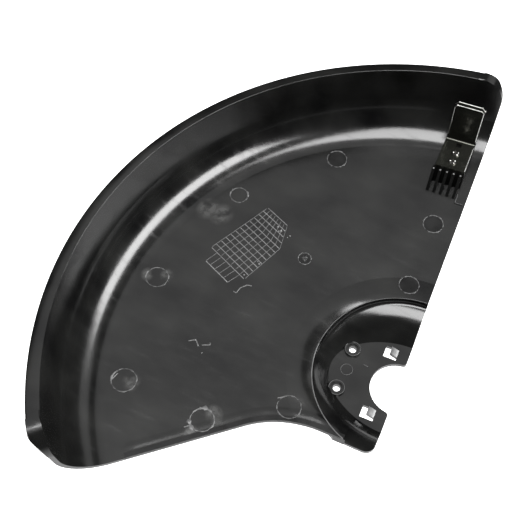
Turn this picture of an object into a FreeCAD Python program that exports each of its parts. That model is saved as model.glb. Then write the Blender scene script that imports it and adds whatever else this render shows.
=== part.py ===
"""Trimmer blade guard: a moulded dish sector with a stepped hub and a line cutter.

Frame: the origin is on the shaft axis, on the hub's seating face. Z points to the hollow side
of the dish. The straight leading edge lies on the plane X = 0, from the hub along +Y to the rim.
"""
import FreeCAD
import Part
import Sketcher
import math
import os
from types import SimpleNamespace

# Driving dimensions in millimetres and degrees: alias, number, meaning.
SIZES = [
    ("wall", 2.4, "wall thickness of the moulding"),
    ("rim_radius", 185.0, "outer radius of the rim flange"),
    ("rim_rise", 44.4, "height of the rim above the floor's reference level"),
    ("rim_flange_height", 4.0, "height of the flange round the rim"),
    ("rim_flange_width", 4.6, "how far the flange stands out from the wall"),
    ("rim_round", 0.9, "rounding of the rim's edges"),
    ("rim_end_round", 15.0, "rounding of the wall's two upper ends"),
    ("flange_end_gap", 6.0, "distance of the flange's end corner from the wall's end"),
    ("flange_end_round", 5.0, "rounding of the flange's end corner"),
    ("wall_draft", 0.8, "how much narrower the dish is at the floor"),
    ("foot_round", 22.5, "inner radius between wall and floor"),
    ("floor_margin", 28.7, "distance from the rim in to the floor's reference level"),
    ("cone_fall", 10.3, "fall of the floor from there to the hub"),
    ("land_margin", 1.0, "width of the level land outside the hub's roll-in"),
    ("lower_edge_angle", 222.5, "direction of the lower straight edge"),
    ("lobe_reach", 46.0, "distance of the lobe's edge from the shaft axis"),
    ("lobe_round", 5.5, "corner radius of the lobe"),
    ("lobe_sweep", 54.0, "radius that joins the lobe to the lower edge"),
    ("hub_depth", 29.0, "depth of the hub plate below the floor's reference level"),
    ("plate_thickness", 2.7, "thickness of the hub plate"),
    ("hub_half_width", 27.7, "half width of the hub plate at the leading edge"),
    ("hub_reach", 40.0, "reach of the hub plate behind the shaft axis"),
    ("hub_back_radius", 20.0, "radius of the hub plate's back end"),
    ("hub_draft", 41.0, "draft angle of the hub's wall"),
    ("hub_roll", 20.0, "convex radius from the floor into the hub"),
    ("spool_recess_radius", 48.5, "radius of the stepped recess round the hub"),
    ("spool_recess_depth", 4.5, "depth of that step"),
    ("disc_back_slope", 13.5, "slope of the recess's back down to the hub"),
    ("notch_radius", 15.5, "radius of the shaft notch"),
    ("notch_corner", 2.0, "corner radius at the mouth of the notch"),
    ("screw_setback", 31.5, "distance of the two screw holes behind the shaft axis"),
    ("screw_spacing", 26.1, "distance between the two screw holes"),
    ("screw_hole", 4.3, "diameter of the screw holes"),
    ("collar_diameter", 9.4, "diameter of the collars round the screw holes"),
    ("collar_height", 1.5, "height of those collars"),
    ("counterbore", 6.6, "diameter of the counterbores in the collars"),
    ("counterbore_depth", 0.9, "depth of those counterbores"),
    ("window_setback", 10.4, "distance of the latch windows behind the shaft axis"),
    ("window_offset", 19.9, "distance of the latch windows to each side"),
    ("window_length", 7.7, "size of a latch window along X"),
    ("window_width", 7.0, "size of a latch window along Y"),
    ("latch_length", 4.4, "free length of a latch tongue"),
    ("latch_width", 4.6, "width of a latch tongue"),
    ("latch_offset", 0.9, "distance of a latch tongue from the middle of its window"),
    ("latch_rise", 2.3, "rise of a latch tongue at its tip"),
    ("block_inset", 6.4, "distance of the cutter block from the leading edge"),
    ("block_width", 18.7, "width of the cutter block"),
    ("cutter_rim_gap", 29.7, "distance from the rim to the blade's cutting face"),
    ("foot_length", 24.3, "length of the blade's foot in front of the cutting face"),
    ("block_shelf", 3.3, "reach of the block behind the cutting face"),
    ("block_rise", 11.1, "height of the block above the floor's reference level"),
    ("block_web", 7.6, "width of the web that takes the cutter's screws"),
    ("rib_count", 5.0, "number of stiffening ribs in front of the block"),
    ("rib_pitch", 4.2, "distance between the ribs"),
    ("rib_thickness", 1.7, "thickness of a rib"),
    ("rib_overhang", 0.8, "how far the first rib stands outside the block's side"),
    ("rib_foot", 9.0, "reach of a rib's foot in front of the block"),
    ("rib_top", 2.2, "reach of a rib's top in front of the block"),
    ("rib_drop", 0.6, "how far a rib's top lies below the block's top"),
    ("pad_lead", 11.2, "reach of the flat pad in front of the block"),
    ("pad_inset", 1.0, "distance of the pad from the leading edge"),
    ("pad_height", 0.6, "height of the pad"),
    ("blade_thickness", 1.6, "thickness of the cutter blade"),
    ("blade_side_gap", 0.4, "how far the blade stays inside the block's sides"),
    ("blade_bend", 1.2, "inner radius of the blade's fold"),
    ("blade_rise", 29.0, "height of the upright leg above the foot"),
    ("blade_bevel", 1.3, "height of the ground bevel along the top"),
    ("blade_edge", 0.5, "width left of the top edge above the bevel"),
    ("blade_corner", 2.0, "corner cut at the top of the upright leg"),
    ("blade_side_bevel", 0.6, "bevel along the sides of the upright leg"),
    ("cutter_screw_gap", 11.7, "distance of the nearer screw from the cutting face"),
    ("cutter_screw_spacing", 7.3, "distance between the cutter screws"),
    ("cutter_screw_shank", 2.6, "shank diameter of a cutter screw"),
    ("cutter_screw_head", 4.4, "head diameter of a cutter screw"),
    ("cutter_screw_head_height", 1.3, "head height of a cutter screw"),
    ("cutter_screw_length", 8.0, "length of a cutter screw under the blade"),
    ("cutter_screw_slot", 0.9, "width of the slot in its head"),
    ("screw_clearance", 0.3, "clearance round a cutter screw in the blade"),
    ("peg_hole_gap", 4.1, "distance of the small square hole from the cutting face"),
    ("peg_hole", 3.2, "side of that hole"),
]

MARGIN = 2.0   # how far a cutting profile runs past the surface that it cuts


class Size:
    """A number together with the sheet expression that gives it."""

    def __init__(self, value, text):
        self.value = value
        self.text = text

    def joined(self, other, sign, value):
        return Size(value, f"({self.text} {sign} {other.text})")

    def __add__(self, other):
        other = as_size(other)
        return self.joined(other, "+", self.value + other.value)

    def __sub__(self, other):
        other = as_size(other)
        return self.joined(other, "-", self.value - other.value)

    def __mul__(self, other):
        other = as_size(other)
        return self.joined(other, "*", self.value * other.value)

    def __truediv__(self, other):
        other = as_size(other)
        return self.joined(other, "/", self.value / other.value)

    def __neg__(self):
        return Size(-self.value, f"(-1 * {self.text})")


def as_size(number):
    return number if isinstance(number, Size) else Size(float(number), repr(float(number)))


def tangent(angle):
    return Size(math.tan(math.radians(angle.value)), f"tan({angle.text})")


def sine(angle):
    return Size(math.sin(math.radians(angle.value)), f"sin({angle.text})")


def cosine(angle):
    return Size(math.cos(math.radians(angle.value)), f"cos({angle.text})")


def root(size):
    return Size(math.sqrt(size.value), f"sqrt({size.text})")


ZERO = as_size(0)
doc = FreeCAD.newDocument("TrimmerGuard")
sheet = doc.addObject("Spreadsheet::Sheet", "Sizes")
for row, (alias, number, meaning) in enumerate(SIZES, start=1):
    sheet.set(f"A{row}", meaning)
    sheet.set(f"B{row}", str(number))
    sheet.setAlias(f"B{row}", alias)
doc.recompute()
s = SimpleNamespace(**{a: Size(float(sheet.get(a)), f"Sizes.{a}") for a, _, _ in SIZES})

# Levels and radii that several features share.
plate_top = s.plate_thickness
floor_level = s.plate_thickness + s.hub_depth
rim_top = floor_level + s.rim_rise
flat_level = floor_level - s.cone_fall
recess_level = flat_level - s.spool_recess_depth
wall_outer = s.rim_radius - s.rim_flange_width
wall_inner = wall_outer - s.wall
floor_radius = s.rim_radius - s.floor_margin
well_inset = s.spool_recess_depth * tangent(s.hub_draft)
well_reach = s.hub_reach - well_inset + (flat_level - plate_top) * tangent(s.hub_draft)
roll_reach = s.hub_roll * tangent((as_size(90) - s.hub_draft) / 2)
land_radius = well_reach + roll_reach + s.land_margin
cone_slope = s.cone_fall / (floor_radius - land_radius)
block_top = floor_level + s.block_rise
blade_top = block_top + s.blade_thickness
block_right = -s.block_inset
block_left = -(s.block_inset + s.block_width)
block_middle = -(s.block_inset + s.block_width / 2)
blade_face = s.rim_radius - s.cutter_rim_gap
block_front = blade_face - s.foot_length
block_back = blade_face + s.block_shelf
second_screw = blade_face - s.cutter_screw_gap
first_screw = second_screw - s.cutter_screw_spacing


def floor_at(radius):
    """Level of the sloping floor at a radius."""
    return floor_level - cone_slope * (floor_radius - radius)


# Sketch helpers.

def sketch_on(body, name, role, level=None):
    """A sketch on one of the body's own origin planes, moved along its normal by a level."""
    sketch = body.newObject("Sketcher::SketchObject", name)
    plane = next(p for p in body.Origin.OriginFeatures if p.Role == role)
    sketch.AttachmentSupport = [(plane, "")]
    sketch.MapMode = "FlatFace"
    if level is not None:
        sketch.AttachmentOffset = FreeCAD.Placement(FreeCAD.Vector(0, 0, level.value), FreeCAD.Rotation())
        sketch.setExpression("AttachmentOffset.Base.z", level.text)
    return sketch


def bound(sketch, constraint, size):
    """Add a dimension and tie it to the sheet."""
    index = sketch.addConstraint(constraint)
    sketch.setExpression(f"Constraints[{index}]", size.text)


def pin(sketch, geometry, end, x, y):
    """Tie one point of a sketch to its place; a zero puts it on the axis."""
    for kind, size, axis in (("DistanceX", x, -2), ("DistanceY", y, -1)):
        if size is ZERO:
            sketch.addConstraint(Sketcher.Constraint("PointOnObject", geometry, end, axis))
        else:
            bound(sketch, Sketcher.Constraint(kind, -1, 1, geometry, end, size.value), size)


def corner_arc(before, corner, after, radius):
    """Where the rounding of a corner starts and ends, and its centre."""
    to_before = (before - corner).normalize()
    to_after = (after - corner).normalize()
    half = to_before.getAngle(to_after) / 2
    reach = radius / math.tan(half)
    middle = (to_before + to_after).normalize()
    return corner + to_before * reach, corner + to_after * reach, corner + middle * (radius / math.sin(half))


def round_corner(sketch, before, after, ends, corner):
    """An arc tangent to two lines that would meet in the corner."""
    start, end, centre = ends
    x, y, radius = corner
    first = math.degrees(math.atan2(start.y - centre.y, start.x - centre.x))
    last = math.degrees(math.atan2(end.y - centre.y, end.x - centre.x))
    if (last - first) % 360 < 180:
        index = arc(sketch, centre.x, centre.y, radius.value, first, last)
        near, far = 1, 2
    else:
        index = arc(sketch, centre.x, centre.y, radius.value, last, first)
        near, far = 2, 1
    sketch.addConstraint(Sketcher.Constraint("Tangent", before, 2, index, near))
    sketch.addConstraint(Sketcher.Constraint("Tangent", index, far, after, 1))
    bound(sketch, Sketcher.Constraint("Radius", index, radius.value), radius)
    meeting = sketch.addGeometry(Part.Point(FreeCAD.Vector(x.value, y.value, 0)), True)
    pin(sketch, meeting, 1, x, y)
    for side in (before, after):
        sketch.addConstraint(Sketcher.Constraint("PointOnObject", meeting, 1, side))


def polygon(sketch, corners):
    """A closed outline through corners given as sizes; a third size rounds a corner."""
    places = [FreeCAD.Vector(c[0].value, c[1].value, 0) for c in corners]
    count = len(corners)
    ends = []
    for i, corner in enumerate(corners):
        if len(corner) == 3:
            ends.append(corner_arc(places[i - 1], places[i], places[(i + 1) % count], corner[2].value))
        else:
            ends.append((places[i], places[i], None))
    lines = []
    for i in range(count):
        lines.append(sketch.addGeometry(Part.LineSegment(ends[i][1], ends[(i + 1) % count][0])))
    for i, corner in enumerate(corners):
        before, after = lines[i - 1], lines[i]
        if len(corner) == 3:
            round_corner(sketch, before, after, ends[i], corner)
        else:
            sketch.addConstraint(Sketcher.Constraint("Coincident", before, 2, after, 1))
            pin(sketch, after, 1, *corner)


def rectangle(sketch, x0, x1, y0, y1):
    polygon(sketch, [(x0, y0), (x1, y0), (x1, y1), (x0, y1)])


def disc(sketch, x, y, radius):
    centre = FreeCAD.Vector(x.value, y.value, 0)
    index = sketch.addGeometry(Part.Circle(centre, FreeCAD.Vector(0, 0, 1), radius.value))
    pin(sketch, index, 3, x, y)
    bound(sketch, Sketcher.Constraint("Radius", index, radius.value), radius)


def arc(sketch, cx, cy, radius, start, end):
    """An arc given by plain numbers, from a start angle to an end angle in degrees."""
    circle = Part.Circle(FreeCAD.Vector(cx, cy, 0), FreeCAD.Vector(0, 0, 1), radius)
    return sketch.addGeometry(Part.ArcOfCircle(circle, math.radians(start), math.radians(end)))


def line(sketch, x0, y0, x1, y1):
    return sketch.addGeometry(Part.LineSegment(FreeCAD.Vector(x0, y0, 0), FreeCAD.Vector(x1, y1, 0)))


# Feature helpers.

def volume_of(body):
    return body.Shape.Volume if body.Tip else 0.0


def feature(body, kind, name, sketch, grows, **settings):
    """Add a sketch feature, tie its sizes to the sheet and check that it adds or removes material."""
    before = volume_of(body)
    made = body.newObject(f"PartDesign::{kind}", name)
    made.Profile = sketch
    for key, value in settings.items():
        if isinstance(value, Size):
            setattr(made, key, value.value)
            made.setExpression(key, value.text)
        else:
            setattr(made, key, value)
    doc.recompute()
    change = body.Shape.Volume - before
    if (change > 0) is not grows or abs(change) < 1e-3:
        raise RuntimeError(f"{name} does not change the solid as it should: {change:.3f} mm3")
    return made


def edges_at(made, places):
    """Names of the edges that pass through the given places."""
    edges = made.Shape.Edges
    names = []
    for x, y, z in places:
        point = Part.Vertex(x, y, z)
        nearest = min(range(len(edges)), key=lambda i: edges[i].distToShape(point)[0])
        names.append(f"Edge{nearest + 1}")
    return sorted(set(names))


def dress(body, kind, name, places, size_name, size):
    """A fillet or chamfer on the edges through the given places."""
    base = body.Tip
    made = body.newObject(f"PartDesign::{kind}", name)
    made.Base = (base, edges_at(base, places))
    setattr(made, size_name, size.value)
    made.setExpression(size_name, size.text)
    doc.recompute()
    return made


def fillet(body, name, places, radius):
    return dress(body, "Fillet", name, places, "Radius", radius)


def hub_outline(sketch, growth):
    """The hub's oval outline: two end arcs between two flatter side arcs, all tangent."""
    half_width = s.hub_half_width + growth
    end_radius = s.hub_back_radius + growth
    centre_x = s.hub_reach - s.hub_back_radius
    side_radius = ((centre_x * centre_x + half_width * half_width - end_radius * end_radius)
                   / ((half_width - end_radius) * 2))
    b, r, d, big = half_width.value, end_radius.value, centre_x.value, side_radius.value
    turn = math.degrees(math.atan2(big - b, d))
    upper = arc(sketch, 0, b - big, big, turn, 180 - turn)
    rear = arc(sketch, -d, 0, r, 180 - turn, 180 + turn)
    lower = arc(sketch, 0, big - b, big, 180 + turn, 360 - turn)
    front = arc(sketch, d, 0, r, 360 - turn, 360 + turn)
    for first, second in ((upper, rear), (rear, lower), (lower, front), (front, upper)):
        sketch.addConstraint(Sketcher.Constraint("Tangent", first, 2, second, 1))
    pin(sketch, rear, 3, -centre_x, ZERO)
    pin(sketch, front, 3, centre_x, ZERO)
    for index, size in ((rear, end_radius), (front, end_radius), (upper, side_radius), (lower, side_radius)):
        bound(sketch, Sketcher.Constraint("Radius", index, size.value), size)


# The guard: dish, hub and cutter block are one moulding.

guard = doc.addObject("PartDesign::Body", "guard_shell")
guard.Label = "guard_shell"


def dish():
    """Thin turned shell: land, sloping floor, rounded foot, wall and rim flange; then the hub's boss."""
    section = sketch_on(guard, "dish_section", "YZ_Plane")
    disc_radius = s.spool_recess_radius + s.wall
    disc_fall = tangent(s.disc_back_slope) * (s.spool_recess_radius - s.hub_half_width)
    outer_foot = wall_outer - s.wall_draft
    inner_foot = wall_inner - s.wall_draft
    flange_base = rim_top - s.rim_flange_height
    hub_back = recess_level - s.wall - disc_fall
    polygon(section, [
        (ZERO, flat_level),
        (land_radius, flat_level),
        (inner_foot, floor_at(inner_foot), s.foot_round),
        (wall_inner, rim_top, s.rim_round),
        (s.rim_radius, rim_top, s.rim_round),
        (s.rim_radius, flange_base),
        (wall_outer, flange_base),
        (outer_foot, floor_at(outer_foot) - s.wall, s.foot_round + s.wall),
        (land_radius, flat_level - s.wall),
        (disc_radius, flat_level - s.wall),
        (disc_radius, recess_level - s.wall),
        (s.spool_recess_radius, recess_level - s.wall),
        (s.hub_half_width, hub_back),
        (ZERO, hub_back),
    ])
    feature(guard, "Revolution", "dish_shell", section, True, ReferenceAxis=(section, ["V_Axis"]), Angle=360.0)

    boss = sketch_on(guard, "hub_boss_outline", "XY_Plane")
    hub_outline(boss, s.wall / cosine(s.hub_draft) - s.plate_thickness * tangent(s.hub_draft))
    feature(guard, "Pad", "hub_boss", boss, True, Length=flat_level - s.wall, TaperAngle=s.hub_draft)


def hub():
    """Oval well rolled in from the land, then the round stepped recess cut into it."""
    well = sketch_on(guard, "hub_well_outline", "XY_Plane", plate_top)
    hub_outline(well, -well_inset)
    depth = flat_level - plate_top
    feature(guard, "Pocket", "hub_well", well, False, Length=depth, Reversed=True, TaperAngle=s.hub_draft)
    fillet(guard, "hub_roll_in", [(-well_reach.value, 0, flat_level.value)], s.hub_roll)

    before = guard.Shape.Volume
    cut = guard.newObject("PartDesign::Boolean", "spool_recess")
    cut.setObjects([recess_core()])
    cut.Type = "Cut"
    doc.recompute()
    if guard.Shape.Volume >= before:
        raise RuntimeError("the recess removes nothing")


def recess_core():
    """The room of the recess: the same roll-in as above the step, set deeper, inside one cylinder."""
    core = doc.addObject("PartDesign::Body", "recess_core")
    top = flat_level + MARGIN
    lower = sketch_on(core, "lower_well_outline", "XY_Plane", plate_top)
    hub_outline(lower, ZERO)
    feature(core, "Pad", "lower_well", lower, True, Length=top - plate_top, TaperAngle=s.hub_draft)

    shelf = sketch_on(core, "shelf_outline", "XY_Plane", recess_level)
    disc(shelf, ZERO, ZERO, land_radius * 1.5)
    feature(core, "Pad", "shelf", shelf, True, Length=top - recess_level)
    edge_reach = s.hub_reach + (recess_level - plate_top) * tangent(s.hub_draft)
    fillet(core, "shelf_roll_in", [(-edge_reach.value, 0, recess_level.value)], s.hub_roll)

    ring = sketch_on(core, "core_outline", "XY_Plane", top)
    outside = land_radius * 2
    rectangle(ring, -outside, outside, -outside, outside)
    disc(ring, ZERO, ZERO, s.spool_recess_radius)
    feature(core, "Pocket", "core_trim", ring, False, Type="ThroughAll")
    return core


def trim():
    """Keep the sector inside the plan outline, and round the two upper ends of the wall."""
    angle = s.lower_edge_angle
    turn = angle.value - 180
    lobe_y = -s.lobe_reach.value
    sweep = s.lobe_sweep.value
    corner = s.lobe_round.value
    join_x = lobe_y / math.tan(math.radians(angle.value)) + sweep * math.tan(math.radians(turn / 2))
    far = s.rim_radius * 1.5
    far_x, far_y = far * cosine(angle), far * sine(angle)
    start = math.radians(90 + turn)
    touch = (join_x + sweep * math.cos(start), lobe_y - sweep + sweep * math.sin(start))

    outline = sketch_on(guard, "plan_outline", "XY_Plane", rim_top + MARGIN)
    edge = line(outline, far_x.value, far_y.value, *touch)
    bend = arc(outline, join_x, lobe_y - sweep, sweep, 90, 90 + turn)
    lobe = line(outline, join_x, lobe_y, -corner, lobe_y)
    tip = arc(outline, -corner, lobe_y + corner, corner, 270, 360)
    leading = line(outline, 0, lobe_y + corner, 0, far.value)
    top = line(outline, 0, far.value, -far.value, far.value)
    left = line(outline, -far.value, far.value, -far.value, far_y.value)
    base = line(outline, -far.value, far_y.value, far_x.value, far_y.value)
    for first, first_end, second, second_end in (
            (edge, 2, bend, 2), (bend, 1, lobe, 1), (lobe, 2, tip, 1)):
        outline.addConstraint(Sketcher.Constraint("Tangent", first, first_end, second, second_end))
    for first, second in ((tip, leading), (leading, top), (top, left), (left, base), (base, edge)):
        outline.addConstraint(Sketcher.Constraint("Coincident", first, 2, second, 1))
    outline.addConstraint(Sketcher.Constraint("PointOnObject", -1, 1, edge))
    outline.addConstraint(Sketcher.Constraint("Horizontal", lobe))
    pin(outline, edge, 1, far_x, far_y)
    pin(outline, leading, 1, ZERO, s.lobe_round - s.lobe_reach)
    pin(outline, top, 1, ZERO, far)
    pin(outline, left, 1, -far, far)
    pin(outline, base, 1, -far, far_y)
    bound(outline, Sketcher.Constraint("Radius", bend, sweep), s.lobe_sweep)
    bound(outline, Sketcher.Constraint("Radius", tip, corner), s.lobe_round)
    around = far * 1.2
    rectangle(outline, -around, around, -around, around)
    feature(guard, "Pocket", "plan_trim", outline, False, Type="ThroughAll")

    ends = (("leading_end", as_size(90), -1), ("lower_end", angle, 1))
    for name, direction, side in ends:
        flange = sketch_on(guard, f"{name}_flange_section", "XZ_Plane")
        turn_end(flange, direction, wall_outer - s.wall / 2)
        flange_section(flange)
        feature(guard, "Pad", f"{name}_flange", flange, True,
                Length=s.rim_flange_width + s.wall / 2, Reversed=side < 0)
        plan = sketch_on(guard, f"{name}_plan", "XY_Plane", rim_top + MARGIN)
        swing = direction - 90
        plan.AttachmentOffset = FreeCAD.Placement(
            FreeCAD.Vector(0, 0, (rim_top + MARGIN).value), FreeCAD.Rotation(swing.value, 0, 0))
        plan.setExpression("AttachmentOffset.Rotation.Angle", swing.text)
        flange_end(plan, side)
        feature(guard, "Pocket", f"{name}_taper", plan, False, Type="ThroughAll")
        corner_plan = sketch_on(guard, f"{name}_outline", "XZ_Plane")
        turn_end(corner_plan, direction, ZERO)
        end_round(corner_plan)
        feature(guard, "Pocket", f"{name}_round", corner_plan, False, Type="ThroughAll", Reversed=side > 0)


def turn_end(sketch, direction, reach):
    """Stand an upright sketch across an end of the wall, at a distance from the shaft axis."""
    swing = as_size(270) - direction if direction.value > 180 else as_size(90) - direction
    base_x = reach * cosine(direction)
    base_z = -(reach * sine(direction))
    sketch.AttachmentOffset = FreeCAD.Placement(
        FreeCAD.Vector(base_x.value, 0, base_z.value),
        FreeCAD.Rotation(FreeCAD.Vector(0, -1, 0), swing.value))
    sketch.setExpression("AttachmentOffset.Base.x", base_x.text)
    sketch.setExpression("AttachmentOffset.Base.z", base_z.text)
    if swing.value:
        sketch.setExpression("AttachmentOffset.Rotation.Angle", swing.text)


def flange_section(sketch):
    """The flange carried round the wall's upper corner: the square corner outside a smaller quarter round."""
    radius = s.rim_end_round
    inner = radius - s.rim_flange_height
    r, top = radius.value, rim_top.value
    curve = arc(sketch, -r, top - r, inner.value, 0, 90)
    rise = line(sketch, -r, top - s.rim_flange_height.value, -r, top)
    cap = line(sketch, -r, top, 0, top)
    drop = line(sketch, 0, top, 0, top - r)
    foot = line(sketch, 0, top - r, -s.rim_flange_height.value, top - r)
    for first, second in ((curve, rise), (rise, cap), (cap, drop), (drop, foot), (foot, curve)):
        sketch.addConstraint(Sketcher.Constraint("Coincident", first, 2, second, 1))
    pin(sketch, rise, 1, -radius, rim_top - s.rim_flange_height)
    pin(sketch, cap, 1, -radius, rim_top)
    pin(sketch, drop, 1, ZERO, rim_top)
    pin(sketch, foot, 1, ZERO, rim_top - radius)
    pin(sketch, curve, 1, -s.rim_flange_height, rim_top - radius)
    bound(sketch, Sketcher.Constraint("Radius", curve, inner.value), inner)


def flange_end(sketch, side):
    """The piece outside the flange's end, which runs out to the wall at the end plane."""
    start = s.rim_end_round * side
    corner = s.flange_end_gap * side
    over = s.rim_radius + MARGIN
    past = as_size(-MARGIN * side)
    square = s.rim_radius * s.rim_radius
    polygon(sketch, [
        (ZERO, wall_outer),
        (corner, root(square - corner * corner), s.flange_end_round),
        (start, root(square - start * start)),
        (start, over),
        (past, over),
        (past, wall_outer),
    ])


def end_round(sketch):
    """The piece outside a quarter round at the wall's upper corner."""
    radius = s.rim_end_round
    r, top = radius.value, rim_top.value
    over = rim_top + MARGIN
    right = as_size(MARGIN)
    curve = arc(sketch, -r, top - r, r, 0, 90)
    rise = line(sketch, -r, top, -r, over.value)
    cap = line(sketch, -r, over.value, right.value, over.value)
    drop = line(sketch, right.value, over.value, right.value, top - r)
    foot = line(sketch, right.value, top - r, 0, top - r)
    for first, second in ((curve, rise), (rise, cap), (cap, drop), (drop, foot), (foot, curve)):
        sketch.addConstraint(Sketcher.Constraint("Coincident", first, 2, second, 1))
    pin(sketch, rise, 1, -radius, rim_top)
    pin(sketch, cap, 1, -radius, over)
    pin(sketch, drop, 1, right, over)
    pin(sketch, foot, 1, right, rim_top - radius)
    pin(sketch, curve, 1, ZERO, rim_top - radius)
    bound(sketch, Sketcher.Constraint("Radius", curve, r), radius)


def hub_fastening():
    """Shaft notch, collared screw holes, and latch windows with their tongues."""
    half_spacing = s.screw_spacing / 2
    collars = sketch_on(guard, "collar_outline", "XY_Plane", plate_top)
    holes = sketch_on(guard, "hub_holes_outline", "XY_Plane", flat_level)
    for y in (half_spacing, -half_spacing):
        disc(collars, -s.screw_setback, y, s.collar_diameter / 2)
        disc(holes, -s.screw_setback, y, s.screw_hole / 2)
    disc(holes, ZERO, ZERO, s.notch_radius)
    half_length = s.window_length / 2
    half_width = s.window_width / 2
    for y in (s.window_offset, -s.window_offset):
        rectangle(holes, -s.window_setback - half_length, -s.window_setback + half_length,
                  y - half_width, y + half_width)
    feature(guard, "Pad", "screw_collars", collars, True, Length=s.collar_height)
    bores = sketch_on(guard, "counterbore_outline", "XY_Plane", plate_top + s.collar_height)
    for y in (half_spacing, -half_spacing):
        disc(bores, -s.screw_setback, y, s.counterbore / 2)
    feature(guard, "Pocket", "counterbores", bores, False, Length=s.counterbore_depth)
    feature(guard, "Pocket", "hub_holes", holes, False, Type="ThroughAll")
    middle = s.plate_thickness.value / 2
    fillet(guard, "notch_corners", [(0, s.notch_radius.value, middle), (0, -s.notch_radius.value, middle)],
           s.notch_corner)

    root = -s.window_setback + half_length
    tip = root - s.latch_length
    for name, window_y in (("upper_latch", s.window_offset), ("lower_latch", -s.window_offset)):
        middle_y = window_y + s.latch_offset
        tongue = sketch_on(guard, f"{name}_section", "XZ_Plane", -middle_y)
        polygon(tongue, [
            (root + s.wall / 2, ZERO),
            (root + s.wall / 2, plate_top),
            (root, plate_top),
            (tip, plate_top + s.latch_rise),
            (tip, s.latch_rise),
            (root, ZERO),
        ])
        feature(guard, "Pad", name, tongue, True, Length=s.latch_width, SideType="Symmetric")


def cutter_block():
    """Hollow block for the line cutter, its ribs, and the pad beside it."""
    sunk = s.wall / 2
    side = sketch_on(guard, "block_section", "YZ_Plane", block_right)
    polygon(side, [
        (block_front, floor_at(block_front) - sunk),
        (block_front, block_top),
        (block_back, block_top),
        (block_back, floor_at(block_back) - sunk),
    ])
    feature(guard, "Pad", "block", side, True, Length=s.block_width, Reversed=True)

    rib_foot = block_front - s.rib_foot
    rib = sketch_on(guard, "rib_section", "YZ_Plane", block_left - s.rib_overhang)
    polygon(rib, [
        (rib_foot, floor_at(rib_foot) - sunk),
        (block_front - s.rib_top, block_top - s.rib_drop),
        (block_front + sunk, block_top - s.rib_drop),
        (block_front + sunk, floor_at(block_front) - sunk),
    ])
    first = feature(guard, "Pad", "rib", rib, True, Length=s.rib_thickness)
    row = guard.newObject("PartDesign::LinearPattern", "rib_row")
    row.Originals = [first]
    row.Direction = (rib, ["N_Axis"])
    row.setExpression("Length", (s.rib_pitch * (s.rib_count - 1)).text)
    row.setExpression("Occurrences", s.rib_count.text)
    guard.Tip = row
    doc.recompute()

    pad_front = block_front - s.pad_lead
    pad = sketch_on(guard, "pad_section", "YZ_Plane", -s.pad_inset)
    polygon(pad, [
        (pad_front, floor_at(pad_front) - sunk),
        (pad_front, floor_at(pad_front) + s.pad_height),
        (floor_radius, floor_level + s.pad_height),
        (floor_radius, floor_level - sunk),
    ])
    feature(guard, "Pad", "flat_pad", pad, True, Length=s.block_inset - s.pad_inset, Reversed=True)

    under = floor_at(block_front) - s.wall * 2
    cores = sketch_on(guard, "block_cores_outline", "XY_Plane", under)
    half_web = s.block_web / 2
    front, back = block_front + s.wall, block_back - s.wall
    rectangle(cores, block_left + s.wall, block_middle - half_web, front, back)
    rectangle(cores, block_middle + half_web, block_right - s.wall, front, back)
    feature(guard, "Pocket", "block_cores", cores, False,
            Length=block_top - s.wall - under, Reversed=True)

    pilots = sketch_on(guard, "pilot_outline", "XY_Plane", block_top)
    for y in (first_screw, second_screw):
        disc(pilots, block_middle, y, s.cutter_screw_shank / 2)
    feature(guard, "Pocket", "pilot_holes", pilots, False, Length=s.cutter_screw_length)


# The cutter: a folded steel blade and its two screws.

blade = doc.addObject("PartDesign::Body", "line_cutter_blade")
blade.Label = "line_cutter_blade"
screws = doc.addObject("PartDesign::Body", "cutter_screws")
screws.Label = "cutter_screws"


def cutter_blade():
    """Flat foot on the block, upright leg at the cutting radius, ground bevel along its top."""
    back = blade_face + s.blade_thickness
    top = blade_top + s.blade_rise
    fold = sketch_on(blade, "fold_section", "YZ_Plane", block_right - s.blade_side_gap)
    polygon(fold, [
        (block_front, block_top),
        (back, block_top, s.blade_bend + s.blade_thickness),
        (back, top),
        (back - s.blade_edge, top),
        (blade_face, top - s.blade_bevel),
        (blade_face, blade_top, s.blade_bend),
        (block_front, blade_top),
    ])
    width = s.block_width - s.blade_side_gap * 2
    feature(blade, "Pad", "fold", fold, True, Length=width, Reversed=True)

    left = block_left + s.blade_side_gap
    right = block_right - s.blade_side_gap
    over = top + MARGIN
    corners = sketch_on(blade, "corner_outline", "XZ_Plane")
    polygon(corners, [(left - MARGIN, top - s.blade_corner - MARGIN), (left + s.blade_corner + MARGIN, over),
                      (left - MARGIN, over)])
    polygon(corners, [(right + MARGIN, top - s.blade_corner - MARGIN), (right + MARGIN, over),
                      (right - s.blade_corner - MARGIN, over)])
    feature(blade, "Pocket", "corner_cuts", corners, False, Type="ThroughAll")

    bevels = sketch_on(blade, "side_bevel_outline", "XY_Plane", blade_top + s.blade_bend * 2)
    deep = blade_face + s.blade_side_bevel
    polygon(bevels, [(left, blade_face), (left + s.blade_side_bevel, blade_face), (left, deep)])
    polygon(bevels, [(right, blade_face), (right, deep), (right - s.blade_side_bevel, blade_face)])
    feature(blade, "Pocket", "side_bevels", bevels, False, Type="ThroughAll", Reversed=True)

    holes = sketch_on(blade, "foot_holes_outline", "XY_Plane", blade_top)
    for y in (first_screw, second_screw):
        disc(holes, block_middle, y, s.cutter_screw_shank / 2 + s.screw_clearance)
    half = s.peg_hole / 2
    peg = blade_face - s.peg_hole_gap
    rectangle(holes, block_middle - half, block_middle + half, peg - half, peg + half)
    feature(blade, "Pocket", "foot_holes", holes, False, Length=s.blade_thickness)


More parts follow.
